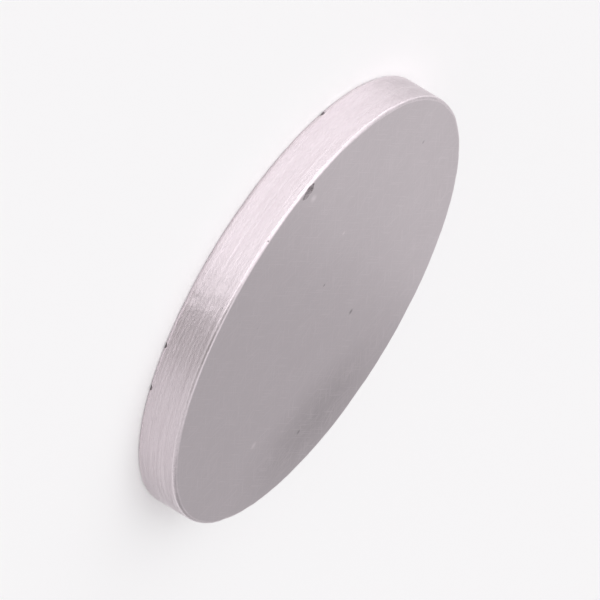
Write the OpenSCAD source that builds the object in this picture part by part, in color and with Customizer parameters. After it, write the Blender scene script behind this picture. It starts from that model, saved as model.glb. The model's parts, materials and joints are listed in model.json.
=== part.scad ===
// Plated disc magnet: one pressed and sintered disc, with two flat ground faces, a ground
// rim, and edges that tumbling has rounded. It lies on its back face, with its axis along +Z.
// All sizes are over the plating, in millimetres.

/* [Disc] */
// Diameter of the disc
disc_d = 16; // [6:0.5:30]
// Thickness from face to face
disc_t = 1.5; // [0.8:0.1:5]

/* [Edges] */
// Radius left by tumbling on both edges
edge_r = 0.12; // [0.04:0.01:0.3]

/* [Chip] */
// Width of the chip across the front face
chip_w = 0.5; // [0.3:0.01:0.8]
// Depth of the chip below the front face
chip_depth = 0.1; // [0.06:0.01:0.2]
// How far in from the rim the middle of the chip lies
chip_inset = 0.28; // [0.2:0.01:0.6]
// Where the chip lies round the disc, in degrees from +X
chip_angle = 246; // [0:1:359]

/* [Hidden] */
$fn = 180;

disc_r = disc_d / 2;
// The chip is a spherical scoop out of the border of the front face, where its outer side runs
// over the rounded edge. Its ball is centred chip_lift above the face.
chip_lift = (pow(chip_w / 2, 2) / chip_depth - chip_depth) / 2;
chip_r = chip_lift + chip_depth;

// Half of the disc's cross-section, from the axis out to the rim.
module section() {
    flat_r = disc_r - edge_r;
    square([flat_r, disc_t]);
    translate([0, edge_r]) square([disc_r, disc_t - 2 * edge_r]);
    for (z = [edge_r, disc_t - edge_r])
        translate([flat_r, z]) circle(r = edge_r);
}

// The scoop that the chip has taken out of the front face. The ball is turned on its side, so
// that its poles lie clear of the metal.
module chip() {
    rotate([0, 0, chip_angle])
        translate([disc_r - chip_inset, 0, disc_t + chip_lift])
            rotate([0, 90, 0]) sphere(r = chip_r);
}

module magnet() {
    color([0.80, 0.75, 0.78])
        difference() {
            rotate_extrude() section();
            chip();
        }
}

magnet();
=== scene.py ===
import json
import math
import random

import bmesh
import bpy
from mathutils import Matrix, Vector, noise


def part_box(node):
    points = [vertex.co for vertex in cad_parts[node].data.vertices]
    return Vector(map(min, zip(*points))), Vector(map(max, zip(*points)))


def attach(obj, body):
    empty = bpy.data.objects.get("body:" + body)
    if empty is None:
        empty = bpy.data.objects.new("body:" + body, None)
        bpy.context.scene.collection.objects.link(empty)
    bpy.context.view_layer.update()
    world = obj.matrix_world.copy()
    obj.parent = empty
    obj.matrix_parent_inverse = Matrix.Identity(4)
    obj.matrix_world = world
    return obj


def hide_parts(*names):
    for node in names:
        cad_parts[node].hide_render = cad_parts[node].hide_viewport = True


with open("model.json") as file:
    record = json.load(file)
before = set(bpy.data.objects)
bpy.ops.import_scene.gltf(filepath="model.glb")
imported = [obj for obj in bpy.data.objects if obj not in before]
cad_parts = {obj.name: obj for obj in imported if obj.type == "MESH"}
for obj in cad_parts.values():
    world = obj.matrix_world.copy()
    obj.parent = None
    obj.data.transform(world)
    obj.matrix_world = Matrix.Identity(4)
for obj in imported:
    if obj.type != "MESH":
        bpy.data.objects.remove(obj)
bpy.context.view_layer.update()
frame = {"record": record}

# One millimetre and one micrometre, in the scene's metres
MM = 0.001
MICRON = 1e-6

# The disc's size comes from the frame, in millimetres
node_low, node_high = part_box("magnet")
disc_r = min(node_high.x - node_low.x, node_high.y - node_low.y) / 2 / MM
disc_t = (node_high.z - node_low.z) / MM
rim_mount = next(m for m in frame["record"]["mounts"] if m["name"] == "rim")
edge_r = (disc_t - rim_mount["dims"]["length_mm"]) / 2

# How much tumbling has varied the radius of the edges, as a share of it
edge_unevenness = 0.3

# Its long and short waves: the radii of two circles walked through noise, how far apart they lie
# there, and the share of the short ones
long_walk = 7.0
short_walk = 24.0
walk_apart = 10.0
short_share = 0.5

# The chip at the border of the front face, in millimetres and degrees
chip_w = 0.5
chip_depth = 0.1
chip_inset = 0.28
chip_angle = 246.0

# The chip's stretch along the edge, whose square is the share that it adds, and its unevenness
chip_stretch = 0.5
chip_unevenness = 0.13

# Nicks that break the plating, as (edge, degrees round the disc, length in millimetres)
deep_nicks = (("back", 226.0, 0.26), ("back", 296.0, 0.20), ("back", 308.0, 0.22))

# The depth of a nick, as a share of its length
nick_depth = 0.25

# Small dents scattered round each edge: how many, how long and how deep, in millimetres
dent_count = 9
dent_l = (0.08, 0.20)
dent_depth = (0.010, 0.028)

# Where in its own stretch of the edge a dent may lie, as a share, how far it keeps from what has
# broken the plating, in degrees, and the seed of its chance
dent_place = (0.1, 0.9)
dent_clearance = 4.0
dent_seed = 7

# How uneven dents and nicks are, and the lumps of every cutter, as (lumps in a millimetre, share)
dent_unevenness = 0.03
lumps = ((6.0, 1.0), (15.0, 0.5), (40.0, 0.3))

# How finely the disc and its cutters are divided, and the rings on its faces in millimetres
turn_steps = 720
rim_steps = 10
edge_steps = 12
ball_steps = 5
face_rings = (2.0, 5.0, 7.0, 7.6, 7.8)

# Edges sharper than this, in degrees, aren't smoothed over
crease_angle = 30.0

# The camera's view of the disc, in degrees and metres
view_elevation = 18.7
view_roll = 121.0
view_distance = 0.64
view_width = 0.0196

# The camera's sensor, in millimetres, and how near and far it sees, in metres
sensor_width = 36.0
view_reach = (0.01, 10.0)

# Half the width of the floor, in metres
floor_half = 1.5

# The light behind the disc: its brightness, and its width, height, distance and edge in metres
card_level = 0.18
card_wide = 0.090
card_tall = 0.050
card_away = 0.030
card_edge = -0.002

# The kinds of surface, in the order of the materials
surfaces = ("face", "rim", "edge", "core")

# Colours, as linear light
plating_tint = (0.84, 0.763, 0.797)
core_tint = (0.19, 0.17, 0.178)
floor_tint = (0.76, 0.76, 0.76)

# How much paler than its own colour the background shows
floor_glow = 0.19

# The part of its range that noise is stretched from, and the part that leaves only scratches
noise_range = (0.3, 0.7)
scratch_range = (0.97, 1.0)

# The radius of a pit that is left out, as a share of the space between pits
no_pit = 0.0001

# Sizes of the face's patterns, in millimetres
cloud_size = (3.0, 3.0, 3.0)
ripple_size = (0.7, 0.7, 0.7)
lap_size = (2.5, 0.06, 2.5)
face_grain_size = (0.07, 0.07, 0.07)
scratch_size = (1.6, 0.04, 1.6)

# Which way the face's lines run, in degrees
lap_turn = 24.0
scratch_turns = (-38.0, 12.0, 57.0, 101.0)

# Shares of the cloud, the ripple, the lapping lines and the grain in the face's tone
face_mix = (0.25, 0.12, 0.06, 0.16)

# The face's shades, as shares of the plating's colour
face_shades = (0.735, 0.825)
# A patch of painted shade that darkens the front face in one broad place
painted_shade_tone = 0.57
scratch_shade = 0.92
# A painted glint beside the chip, and the face's lighter specks
painted_glint_and_speck_shade = 0.96
dark_mark_shade = 0.36

# How strongly a scratch shows, and the part of the painted shade patch that its ripple leaves
scratch_strength = 0.3
painted_shade_strength = (0.8, 1.0)

# The face's roughness, from its dark clouds to its light ones, and what the painted shade patch adds
face_roughness = (0.34, 0.31)
painted_shade_roughness = 0.05

# The patch of painted shade and the painted glint beside the chip, as (x, y, degrees turned, half length,
# half width)
painted_shade_place = (3.1, 5.4, -40.0, 5.0, 3.0)
painted_glint_place = (-3.04, -6.30, 0.0, 0.22, 0.34)

# Round specks on the face, as (x, y, radius)
dark_specks = ((-0.52, 2.85, 0.16), (3.75, 4.61, 0.14), (-0.81, -0.88, 0.08))
light_specks = ((4.87, 1.37, 0.22), (-2.6, -1.9, 0.12))

# Scattered pits, as (space between them, greatest radius, share of spaces with a pit)
face_pits = (1.3, 0.10, 0.5)
rim_pits = (0.9, 0.09, 0.5)

# Depths in the face, in micrometres
lap_depth = 0.15
face_grain_depth = 0.8
face_pit_depth = 12.0

# Sizes of the rim's patterns, in millimetres
swell_size = (1.4, 1.4, 0.25)
streak_size = (0.6, 0.6, 0.09)
line_size = (3.0, 3.0, 0.05)
chatter_size = (0.35, 0.35, 0.5)

# The rim's shades, as shares of the plating's colour, and its roughness
rim_shades = (1.04, 1.16)
rim_pit_shade = 0.4
rim_roughness = (0.38, 0.55)

# A quarter turn, so that light spreads across the grinding lines
rim_spread_turn = 0.25

# Depths in the rim, in micrometres
swell_depth = 8.0
streak_depth = 7.0
chatter_depth = 5.0
rim_pit_depth = 15.0

# The rounded edges: pattern sizes in millimetres, shades, roughness and depth in micrometres
edge_grain_size = (0.10, 0.10, 0.05)
rub_size = (0.8, 0.8, 0.8)
edge_shades = (0.84, 0.98)
edge_roughness = (0.28, 0.40)
edge_grain_depth = 1.8

# The bare core: how metallic and rough it is, how much lighter its grains are, and their size and
# depth in millimetres and micrometres
core_metallic = 0.7
core_roughness = 0.5
core_grain_light = 2.2
core_grain_size = (0.03, 0.03, 0.03)
core_grain_depth = 6.0

# The studio light by height, as (lower height, upper height, below, above): heights are in degrees,
# and below and above are levels of light, or for the dome its share
room_rise = (30.0, 62.0, 0.54, 0.98)
softbox_foot = (2.0, 10.0, 3.4, 1.28)
softbox_head = (35.0, 50.0, 0.0, 0.40)
dome_rise = (70.0, 82.0, 0.0, 1.0)
dome_level = 1.0

# Sides of the studio, as (middle azimuth, from, to, soft start, soft end), in degrees, where
# azimuth 0 is the camera's side and from and to are counted from the middle
softbox_side = (-50.0, -72.0, 76.0, 70.0, 3.0)
gap_side = (30.0, -4.0, 26.0, 3.0, 20.0)
gap_top_side = (30.0, -14.0, 50.0, 16.0, 30.0)

# Lighter and darker parts of the room, as (side, levels by height)
room_parts = (
    ((100.0, -32.0, 30.0, 40.0, 40.0), (37.0, 53.0, 0.20, 0.0)),
    ((145.0, -18.0, 16.0, 24.0, 16.0), (30.0, 50.0, -0.20, 0.0)),
    ((-138.0, -14.0, 14.0, 30.0, 30.0), (32.0, 56.0, -0.31, 0.0)),
)

# The dark gap: its level, the dim strip across it as (from, to, soft start, soft end), what the
# strip adds, and by height where the gap widens and where it ends, as shares
gap_level = 0.18
gap_strip = (8.0, 26.0, 4.0, 6.0)
gap_strip_level = 0.30
gap_widening = (36.0, 52.0, 0.0, 1.0)
gap_end = (70.0, 82.0, 1.0, 0.0)

# Colours of the studio light
room_colour = (1.0, 0.985, 1.0)
gap_colour = (1.0, 0.975, 0.94)


def spread(start, end, count):
    """Evenly spaced values from start up to, but not including, end."""
    return [start + (end - start) * i / count for i in range(count)]


def at(radius, turn, z):
    """The point at a radius, an angle round the disc in degrees, and a height."""
    a = math.radians(turn)
    return Vector((radius * math.cos(a), radius * math.sin(a), z))


def worn_radius(side, turn):
    """The radius of the back edge (side 0) or the front one (side 1) at an angle."""
    level = 2 * walk_apart * side
    long_wave = noise.noise(at(long_walk, turn, level))
    short_wave = noise.noise(at(short_walk, turn, level + walk_apart))
    return edge_r * (1 + edge_unevenness * (long_wave + short_share * short_wave))


def outline(turn):
    """The disc's outline at an angle from the back face to the front, and its kinds of surface."""
    low = worn_radius(0, turn)
    high = worn_radius(1, turn)
    quarter = [math.radians(a) for a in spread(0, 90, edge_steps)]
    points = [(r, 0.0) for r in face_rings]
    points += [(disc_r - low + low * math.sin(a), low - low * math.cos(a)) for a in quarter]
    points += [(disc_r, z) for z in spread(low, disc_t - high, rim_steps)]
    points += [(disc_r - high + high * math.cos(a), disc_t - high + high * math.sin(a)) for a in quarter]
    points.append((disc_r - high, disc_t))
    points += [(r, disc_t) for r in reversed(face_rings)]
    kinds = ["face"] * len(face_rings) + ["edge"] * edge_steps + ["rim"] * rim_steps
    kinds += ["edge"] * edge_steps + ["face"] * len(face_rings)
    return points, kinds


def whole_disc():
    """The disc's mesh before its chip and nicks, lathed with its uneven edges."""
    bm = bmesh.new()
    columns = []
    for turn in spread(0.0, 360.0, turn_steps):
        points, kinds = outline(turn)
        columns.append([bm.verts.new(at(r, turn, z) * MM) for r, z in points])
    back = bm.verts.new((0, 0, 0))
    front = bm.verts.new((0, 0, disc_t * MM))
    for i, here in enumerate(columns):
        there = columns[(i + 1) % turn_steps]
        for row, kind in enumerate(kinds):
            quad = bm.faces.new((here[row], there[row], there[row + 1], here[row + 1]))
            quad.material_index = surfaces.index(kind)
        bm.faces.new((back, there[0], here[0]))
        bm.faces.new((front, here[-1], there[-1]))
    return bm


def add_ball(bm, centre, radius, unevenness, kind, stretch=Vector((0, 0, 0))):
    """Adds an uneven ball that will be cut out of the disc, longer along stretch by its square."""
    made = bmesh.ops.create_icosphere(bm, subdivisions=ball_steps, radius=1.0)
    for vert in made["verts"]:
        place = centre + vert.co * radius
        wave = sum(share * noise.noise(place * number) for number, share in lumps)
        spoke = vert.co * radius * (1 + unevenness * wave)
        vert.co = (centre + spoke + stretch * spoke.dot(stretch)) * MM
    for face in {f for vert in made["verts"] for f in vert.link_faces}:
        face.material_index = surfaces.index(kind)


def add_dent(bm, side, turn, length, depth, kind):
    """Adds a ball that scoops a dent out of the back edge (side 0) or the front one (side 1)."""
    radius = ((length / 2) ** 2 + depth ** 2) / (2 * depth)
    outward = (at(1.0, turn, 0) + Vector((0, 0, 2 * side - 1))).normalized()
    middle = at(disc_r - edge_r, turn, edge_r + side * (disc_t - 2 * edge_r))
    add_ball(bm, middle + outward * (edge_r + radius - depth), radius, dent_unevenness, kind)


def damage():
    """Everything that wear has cut out of the disc: the chip, the nicks and the dents."""
    bm = bmesh.new()
    lift = ((chip_w / 2) ** 2 / chip_depth - chip_depth) / 2
    middle = at(disc_r - chip_inset, chip_angle, disc_t + lift)
    along = at(chip_stretch, chip_angle + 90, 0)
    add_ball(bm, middle, lift + chip_depth, chip_unevenness, "core", along)
    for edge, turn, length in deep_nicks:
        add_dent(bm, ("back", "front").index(edge), turn, length, length * nick_depth, "core")
    broken = [chip_angle] + [turn for edge, turn, length in deep_nicks]
    chance = random.Random(dent_seed)
    for side in (0, 1):
        for i in range(dent_count):
            turn = (i + chance.uniform(*dent_place)) * 360 / dent_count
            length = chance.uniform(*dent_l)
            depth = chance.uniform(*dent_depth)
            if min(abs(turn - other) for other in broken) > dent_clearance:
                add_dent(bm, side, turn, length, depth, "edge")
    return bm


def new_object(name, bm, materials):
    """A smooth object made of a bmesh, with its materials."""
    for face in bm.faces:
        face.smooth = True
    mesh = bpy.data.meshes.new(name)
    bm.to_mesh(mesh)
    bm.free()
    for material in materials:
        mesh.materials.append(material)
    made = bpy.data.objects.new(name, mesh)
    bpy.context.scene.collection.objects.link(made)
    return made


class Nodes:
    """A short way to build a node tree.

    The Mix node has several sockets of the same name, so those are taken by number.
    """

    def __init__(self, tree):
        self.tree = tree

    def add(self, kind, **settings):
        """A new node of a kind, with its settings."""
        node = self.tree.nodes.new(kind)
        for key, value in settings.items():
            setattr(node, key, value)
        return node

    def feed(self, socket, value):
        """Gives a socket another socket, a number or a colour."""
        if isinstance(value, bpy.types.NodeSocket):
            self.tree.links.new(value, socket)
        elif isinstance(value, tuple) and socket.type == "RGBA":
            socket.default_value = (*value, 1.0)
        else:
            socket.default_value = value

    def math(self, operation, *values):
        """A math node worked out on sockets or numbers."""
        node = self.add("ShaderNodeMath", operation=operation)
        for socket, value in zip(node.inputs, values):
            self.feed(socket, value)
        return node.outputs["Value"]

    def greatest(self, values):
        """The greatest of several values."""
        result, *others = values
        for value in others:
            result = self.math("MAXIMUM", result, value)
        return result

    def span(self, value, low, high, out_low, out_high, soft=False):
        """The value, mapped from low..high to out_low..out_high and held there beyond."""
        node = self.add("ShaderNodeMapRange", interpolation_type="SMOOTHSTEP" if soft else "LINEAR")
        for name, number in zip(("From Min", "From Max", "To Min", "To Max"), (low, high, out_low, out_high)):
            node.inputs[name].default_value = number
        self.feed(node.inputs["Value"], value)
        return node.outputs["Result"]

    def mix(self, share, low, high):
        """A colour from low, where the share is 0, to high, where it is 1."""
        node = self.add("ShaderNodeMix", data_type="RGBA")
        self.feed(node.inputs["Factor"], share)
        self.feed(node.inputs[6], low)
        self.feed(node.inputs[7], high)
        return node.outputs[2]

    def level(self, share, low, high):
        """A number from low, where the share is 0, to high, where it is 1."""
        node = self.add("ShaderNodeMix", data_type="FLOAT")
        self.feed(node.inputs["Factor"], share)
        self.feed(node.inputs[2], low)
        self.feed(node.inputs[3], high)
        return node.outputs[0]

    def mapped(self, centre, turn, reach):
        """The surface's place, counted from a centre in units of reach, along turned axes."""
        node = self.add("ShaderNodeMapping", vector_type="TEXTURE")
        node.inputs["Location"].default_value = [v * MM for v in centre]
        node.inputs["Rotation"].default_value = (0.0, 0.0, math.radians(turn))
        node.inputs["Scale"].default_value = [v * MM for v in reach]
        self.feed(node.inputs["Vector"], self.add("ShaderNodeTexCoord").outputs["Object"])
        return node.outputs["Vector"]

    def noise(self, size, detail=2.0, rough=0.5, turn=0.0):
        """Noise with features of a size in millimetres, along turned axes, from 0 to 1."""
        node = self.add("ShaderNodeTexNoise")
        node.inputs["Scale"].default_value = 1.0
        node.inputs["Detail"].default_value = detail
        node.inputs["Roughness"].default_value = rough
        self.feed(node.inputs["Vector"], self.mapped((0, 0, 0), turn, size))
        return self.span(node.outputs["Fac"], *noise_range, 0.0, 1.0)

    def around(self, x, y, turn, long, wide):
        """1 at a place on the front face, falling softly to 0 at the ends of an oval."""
        length = self.add("ShaderNodeVectorMath", operation="LENGTH")
        self.feed(length.inputs[0], self.mapped((x, y, disc_t), turn, (long, wide, 1.0)))
        return self.span(length.outputs["Value"], 0.0, 1.0, 1.0, 0.0, soft=True)

    def specks(self, places):
        """For each round speck on the front face, 1 in its middle, falling softly to 0."""
        return [self.around(x, y, 0.0, radius, radius) for x, y, radius in places]

    def pits(self, apart, radius, share):
        """1 in the middle of scattered round pits and 0 outside, in millimetres."""
        cells = self.add("ShaderNodeTexVoronoi")
        cells.inputs["Scale"].default_value = 1.0
        self.feed(cells.inputs["Vector"], self.mapped((0, 0, 0), 0, (apart, apart, apart)))
        split = self.add("ShaderNodeSeparateColor")
        self.feed(split.inputs["Color"], cells.outputs["Color"])
        size = self.span(split.outputs["Red"], 0.0, share, radius / apart, no_pit)
        ratio = self.math("DIVIDE", cells.outputs["Distance"], size)
        return self.span(ratio, 0.0, 1.0, 1.0, 0.0)

    def scratches(self, turn):
        """1 along sparse thin scratches that run one way over the face, and 0 between."""
        line = self.noise(scratch_size, detail=0.0, turn=turn)
        return self.span(line, *scratch_range, 0.0, 1.0)

    def bump(self, height, depth, below=None):
        """A bump of depth micrometres from the height, on top of another bump."""
        node = self.add("ShaderNodeBump")
        node.inputs["Strength"].default_value = 1.0
        node.inputs["Distance"].default_value = depth * MICRON
        self.feed(node.inputs["Height"], height)
        if below is not None:
            self.feed(node.inputs["Normal"], below)
        return node.outputs["Normal"]

    def hollow(self, height, depth, below):
        """A hollow of depth micrometres where the height is 1, on top of another bump."""
        return self.bump(self.math("MULTIPLY", height, -1.0), depth, below)


def tinted(share):
    """The plating's colour, lighter or darker by a share."""
    return tuple(c * share for c in plating_tint)


def new_material(name, metallic):
    """A new material, with the builder of its nodes and its shader's inputs."""
    material = bpy.data.materials.new(name)
    material.use_nodes = True
    inputs = material.node_tree.nodes["Principled BSDF"].inputs
    inputs["Metallic"].default_value = metallic
    return material, Nodes(material.node_tree), inputs


def face_material():
    """A lapped and plated face: a clouded satin with fine lines and specks, a slightly rougher patch of
    painted shade and a painted glint by the chip.
    """
    material, n, inputs = new_material("plated_face", 1.0)
    cloud = n.noise(cloud_size)
    ripple = n.noise(ripple_size, detail=3.0)
    lap = n.noise(lap_size, detail=3.0, rough=0.7, turn=lap_turn)
    grain = n.noise(face_grain_size, detail=3.0, rough=0.6)
    # A broad patch of painted shade, broken up by the ripple
    painted_shade = n.math("MULTIPLY", n.around(*painted_shade_place), n.span(ripple, 0.0, 1.0, *painted_shade_strength))
    scratch = n.greatest([n.scratches(turn) for turn in scratch_turns])
    dark = n.greatest([n.pits(*face_pits)] + n.specks(dark_specks))
    # The painted glint beside the chip, with the face's lighter specks
    light = n.greatest([n.around(*painted_glint_place)] + n.specks(light_specks))
    tone = 0.0
    for pattern, share in zip((cloud, ripple, lap, grain), face_mix):
        tone = n.math("ADD", tone, n.math("MULTIPLY", pattern, share))
    darkest, lightest = face_shades
    colour = n.mix(tone, tinted(darkest), tinted(lightest))
    # Paints the shade patch into the face's colour
    colour = n.mix(painted_shade, colour, tinted(painted_shade_tone))
    colour = n.mix(n.math("MULTIPLY", scratch, scratch_strength), colour, tinted(scratch_shade))
    # Paints the glint and the lighter specks into the face's colour
    colour = n.mix(light, colour, tinted(painted_glint_and_speck_shade))
    n.feed(inputs["Base Color"], n.mix(dark, colour, tinted(dark_mark_shade)))
    dulled = n.math("MULTIPLY", painted_shade, painted_shade_roughness)
    n.feed(inputs["Roughness"], n.math("ADD", n.span(cloud, 0.0, 1.0, *face_roughness), dulled))
    lapped = n.bump(lap, lap_depth, n.bump(grain, face_grain_depth))
    n.feed(inputs["Normal"], n.hollow(dark, face_pit_depth, lapped))
    return material


def rim_material():
    """A rim ground round the disc: lines along the rim that spread light across it."""
    material, n, inputs = new_material("plated_rim", 1.0)
    inputs["Anisotropic"].default_value = 1.0
    inputs["Anisotropic Rotation"].default_value = rim_spread_turn
    tangent = n.add("ShaderNodeTangent", direction_type="RADIAL", axis="Z")
    n.feed(inputs["Tangent"], tangent.outputs["Tangent"])
    swell = n.noise(swell_size)
    streak = n.noise(streak_size, detail=3.0, rough=0.6)
    line = n.noise(line_size, rough=0.6)
    chatter = n.noise(chatter_size)
    pit = n.pits(*rim_pits)
    darkest, lightest = rim_shades
    colour = n.mix(line, tinted(darkest), tinted(lightest))
    n.feed(inputs["Base Color"], n.mix(pit, colour, tinted(rim_pit_shade)))
    n.feed(inputs["Roughness"], n.span(line, 0.0, 1.0, *rim_roughness))
    ground = n.bump(swell, swell_depth, n.bump(chatter, chatter_depth))
    ground = n.bump(streak, streak_depth, ground)
    n.feed(inputs["Normal"], n.hollow(pit, rim_pit_depth, ground))
    return material


def edge_material():
    """An edge that tumbling has rounded and rubbed to a satin."""
    material, n, inputs = new_material("plated_edge", 1.0)
    grain = n.noise(edge_grain_size)
    rub = n.noise(rub_size)
    darkest, lightest = edge_shades
    n.feed(inputs["Base Color"], n.mix(grain, tinted(darkest), tinted(lightest)))
    n.feed(inputs["Roughness"], n.span(rub, 0.0, 1.0, *edge_roughness))
    n.feed(inputs["Normal"], n.bump(grain, edge_grain_depth))
    return material


def core_material():
    """The dull dark sintered core that a chip lays bare."""
    material, n, inputs = new_material("bare_core", core_metallic)
    grain = n.noise(core_grain_size, detail=3.0, rough=0.6)
    light = tuple(c * core_grain_light for c in core_tint)
    n.feed(inputs["Base Color"], n.mix(grain, core_tint, light))
    inputs["Roughness"].default_value = core_roughness
    n.feed(inputs["Normal"], n.bump(grain, core_grain_depth))
    return material


def make_magnet():
    """The disc, with its chip, nicks and dents cut out of it."""
    materials = (face_material(), rim_material(), edge_material(), core_material())
    magnet = new_object("plated_disc", whole_disc(), materials)
    cutter = new_object("cutter", damage(), materials)
    cut = magnet.modifiers.new("cut", "BOOLEAN")
    cut.operation = "DIFFERENCE"
    cut.solver = "EXACT"
    cut.object = cutter
    bpy.context.view_layer.update()
    worn = bpy.data.meshes.new_from_object(magnet.evaluated_get(bpy.context.evaluated_depsgraph_get()))
    magnet.modifiers.clear()
    magnet.data = worn
    worn.set_sharp_from_angle(angle=math.radians(crease_angle))
    bpy.data.objects.remove(cutter)
    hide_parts("magnet")
    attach(magnet, "root")


def make_floor():
    """A plain pale floor that shows paler to the camera and in reflections."""
    half = floor_half
    bm = bmesh.new()
    corners = ((-half, -half, 0), (half, -half, 0), (half, half, 0), (-half, half, 0))
    bm.faces.new([bm.verts.new(corner) for corner in corners])
    material, n, inputs = new_material("pale_floor", 0.0)
    n.feed(inputs["Base Color"], floor_tint)
    inputs["Roughness"].default_value = 1.0
    inputs["Specular IOR Level"].default_value = 0.0
    rays = n.add("ShaderNodeLightPath").outputs
    seen = n.greatest([rays["Is Camera Ray"], rays["Is Glossy Ray"], rays["Is Transmission Ray"]])
    inputs["Emission Color"].default_value = (1.0, 1.0, 1.0, 1.0)
    n.feed(inputs["Emission Strength"], n.math("MULTIPLY", seen, floor_glow))
    new_object("floor", bm, [material])


def make_card():
    """A weak soft light behind the disc, to one side, that grades the face."""
    data = bpy.data.lights.new("card", "AREA")
    data.shape = "RECTANGLE"
    data.size = card_wide
    data.size_y = card_tall
    data.energy = card_level * card_wide * card_tall * math.pi
    card = bpy.data.objects.new("card", data)
    card.location = (card_edge - card_wide / 2, card_away, card_tall / 2)
    card.rotation_euler = (-math.pi / 2, 0, 0)
    card.visible_camera = False
    card.visible_diffuse = False
    bpy.context.scene.collection.objects.link(card)


def make_camera():
    """The camera, on the photograph's line of sight and turned as it shows the disc."""
    e = math.radians(view_elevation)
    roll = math.radians(view_roll)
    back = Vector((0, -math.cos(e), math.sin(e)))
    level = Vector((1, 0, 0))
    rise = Vector((0, math.sin(e), math.cos(e)))
    right = math.cos(roll) * level + math.sin(roll) * rise
    up = -math.sin(roll) * level + math.cos(roll) * rise
    target = Vector((0, 0, disc_t * MM / 2))
    data = bpy.data.cameras.new("camera")
    data.sensor_width = sensor_width
    data.lens = data.sensor_width * view_distance / view_width
    data.clip_start, data.clip_end = view_reach
    camera = bpy.data.objects.new("camera", data)
    turn = Matrix((right, up, back)).transposed().to_4x4()
    camera.matrix_world = Matrix.Translation(target + back * view_distance) @ turn
    bpy.context.scene.collection.objects.link(camera)
    bpy.context.scene.camera = camera


def azimuth(w, centre):
    """Degrees round the disc from the azimuth centre, where the camera's side is 0."""
    turned = w.add("ShaderNodeVectorRotate", rotation_type="Z_AXIS")
    turned.inputs["Angle"].default_value = -math.radians(centre)
    w.feed(turned.inputs["Vector"], w.add("ShaderNodeTexCoord").outputs["Generated"])
    split = w.add("ShaderNodeSeparateXYZ")
    w.feed(split.inputs["Vector"], turned.outputs["Vector"])
    toward = w.math("MULTIPLY", split.outputs["Y"], -1.0)
    return w.math("MULTIPLY", w.math("ARCTAN2", split.outputs["X"], toward), 180 / math.pi)


def elevation(w):
    """Degrees above the floor."""
    split = w.add("ShaderNodeSeparateXYZ")
    w.feed(split.inputs["Vector"], w.add("ShaderNodeTexCoord").outputs["Generated"])
    return w.math("MULTIPLY", w.math("ARCSINE", split.outputs["Z"]), 180 / math.pi)


def window(w, angle, low, high, soft_low, soft_high):
    """1 where the angle lies from low to high, and 0 outside, over soft degrees at each end."""
    rise = w.span(angle, low - soft_low / 2, low + soft_low / 2, 0.0, 1.0, soft=True)
    fall = w.span(angle, high - soft_high / 2, high + soft_high / 2, 1.0, 0.0, soft=True)
    return w.math("MULTIPLY", rise, fall)


def sector(w, centre, low, high, soft_low, soft_high):
    """1 on the side of the studio from low to high degrees round from centre, and 0 elsewhere."""
    return window(w, azimuth(w, centre), low, high, soft_low, soft_high)


def make_world():
    """A soft studio: a wide softbox, a dim belt round the horizon, a dark gap and a pale dome."""
    world = bpy.data.worlds.new("studio")
    bpy.context.scene.world = world
    world.use_nodes = True
    w = Nodes(world.node_tree)
    height = elevation(w)
    light = w.span(height, *room_rise, soft=True)
    for side, levels in room_parts:
        part = w.math("MULTIPLY", sector(w, *side), w.span(height, *levels, soft=True))
        light = w.math("ADD", light, part)
    foot = w.span(height, *softbox_foot, soft=True)
    softbox = w.math("ADD", foot, w.span(height, *softbox_head, soft=True))
    light = w.level(sector(w, *softbox_side), light, softbox)
    strip = w.math("MULTIPLY", window(w, height, *gap_strip), gap_strip_level)
    gap = w.math("ADD", strip, gap_level)
    widening = w.span(height, *gap_widening, soft=True)
    in_gap = w.level(widening, sector(w, *gap_side), sector(w, *gap_top_side))
    in_gap = w.math("MULTIPLY", in_gap, w.span(height, *gap_end, soft=True))
    light = w.level(in_gap, light, gap)
    light = w.level(w.span(height, *dome_rise, soft=True), light, dome_level)
    background = world.node_tree.nodes["Background"]
    w.feed(background.inputs["Strength"], light)
    w.feed(background.inputs["Color"], w.mix(in_gap, room_colour, gap_colour))


make_magnet()
make_floor()
make_card()
make_camera()
make_world()
bpy.context.scene.view_settings.view_transform = "Standard"
